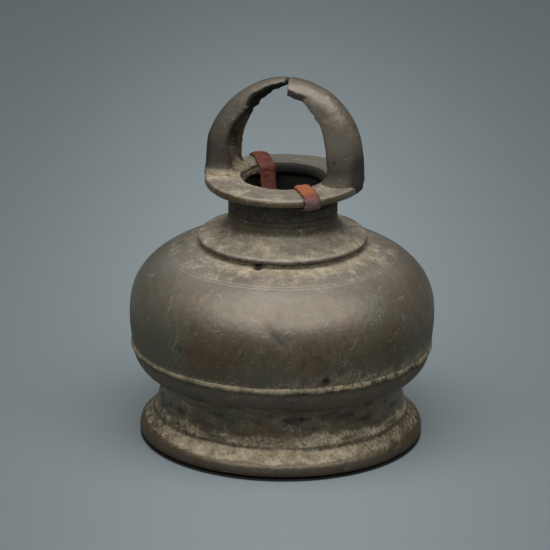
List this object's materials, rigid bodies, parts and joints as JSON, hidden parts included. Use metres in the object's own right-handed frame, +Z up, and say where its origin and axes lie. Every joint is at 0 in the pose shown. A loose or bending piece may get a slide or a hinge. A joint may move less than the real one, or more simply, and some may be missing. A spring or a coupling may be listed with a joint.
{
  "type": "temple bell",
  "caption": "Bulbous cast-bronze temple bell on a waisted foot, with a turned crown, a flange, a broken arched handle and a clapper hung inside on a leather thong.",
  "frame": {"origin": "centre of the foot's underside", "axes": "+Z up along the bell's axis, +X along the handle towards its blunt-ended arm"},
  "size_m": [0.122, 0.122, 0.1485],
  "materials": {
    "bronze": "worn brown-grey patina, satin",
    "crust": "pale matt crust over old solder",
    "leather": "dry red-brown hide",
    "iron": "forged, rusted brown"
  },
  "bodies": {
    "bell": {"foot_skirt": "bronze", "ridge_seam": "crust", "dome": "bronze", "collar_seam": "crust", "crown": "bronze", "flange_ring": "bronze", "left_arm": "bronze", "right_arm": "bronze", "arm_repair": "crust", "front_loop": "leather", "rear_loop": "leather"},
    "thong": {"hanging_thong": "leather"},
    "clapper": {"clapper_eye": "iron", "clapper_rod": "iron", "clapper_ball": "iron"}
  },
  "joints": [
    {"name": "thong_swing", "type": "hinge", "parent": "bell", "child": "thong", "pos_m": [0.00093, 0.00076, 0.0986], "axis": [-0.6293, 0.7771, 0], "range_deg": [-18, 18]},
    {"name": "clapper_swing", "type": "hinge", "parent": "thong", "child": "clapper", "pos_m": [0.00093, 0.00076, 0.058], "axis": [0.7771, 0.6293, 0], "range_deg": [-35, 35]}
  ]
}
